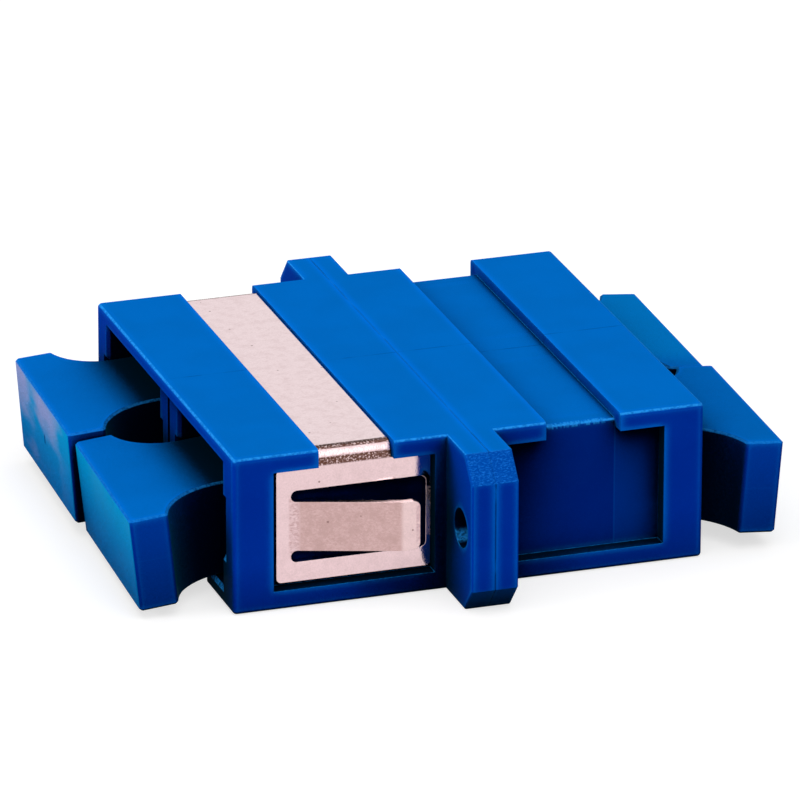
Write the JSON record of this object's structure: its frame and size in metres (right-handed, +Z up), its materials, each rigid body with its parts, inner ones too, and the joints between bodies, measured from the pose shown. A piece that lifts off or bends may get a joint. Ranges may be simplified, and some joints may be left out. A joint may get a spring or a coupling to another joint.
{
  "type": "duplex fibre optic adapter",
  "caption": "Duplex square-port fibre optic adapter lying flat, with a mid flange, a folded spring-steel panel clip and dust plugs that pull out of its ports.",
  "frame": {"origin": "middle of the underside, in the weld plane of the flange; the loosely seated dust plugs put the box's middle 0.3 mm toward -X", "axes": "+X along the fibres, out of the end without the clip; +Y across the two ports; +Z up from the face it lies on"},
  "size_m": [0.0386, 0.0346, 0.0093],
  "materials": {
    "housing_plastic": "moulded blue plastic, satin, with a fine grain",
    "plug_plastic": "moulded blue plastic, slightly softer and duller than the housing",
    "insert_plastic": "moulded blue plastic",
    "spring_steel": "rolled stainless strip, satin",
    "zirconia": "ground white ceramic"
  },
  "bodies": {
    "adapter": {"housing_half_plain_end": "housing_plastic", "housing_half_clip_end": "housing_plastic", "mounting_clip": "spring_steel", "latch_insert_plain_end_1": "insert_plastic", "latch_insert_plain_end_2": "insert_plastic", "latch_insert_clip_end_1": "insert_plastic", "latch_insert_clip_end_2": "insert_plastic", "split_sleeve_1": "zirconia", "split_sleeve_2": "zirconia"},
    "dust_plug_plain_end_1": {"dust_plug_plain_end_1": "plug_plastic"},
    "dust_plug_plain_end_2": {"dust_plug_plain_end_2": "plug_plastic"},
    "dust_plug_clip_end_1": {"dust_plug_clip_end_1": "plug_plastic"},
    "dust_plug_clip_end_2": {"dust_plug_clip_end_2": "plug_plastic"}
  },
  "joints": [
    {"name": "pull_plug_plain_end_1", "type": "slide", "parent": "adapter", "child": "dust_plug_plain_end_1", "axis": [1, 0, 0], "range_m": [0, 0.02]},
    {"name": "pull_plug_plain_end_2", "type": "slide", "parent": "adapter", "child": "dust_plug_plain_end_2", "axis": [1, 0, 0], "range_m": [0, 0.02]},
    {"name": "pull_plug_clip_end_1", "type": "slide", "parent": "adapter", "child": "dust_plug_clip_end_1", "axis": [-1, 0, 0], "range_m": [0, 0.02]},
    {"name": "pull_plug_clip_end_2", "type": "slide", "parent": "adapter", "child": "dust_plug_clip_end_2", "axis": [-1, 0, 0], "range_m": [0, 0.02]}
  ]
}
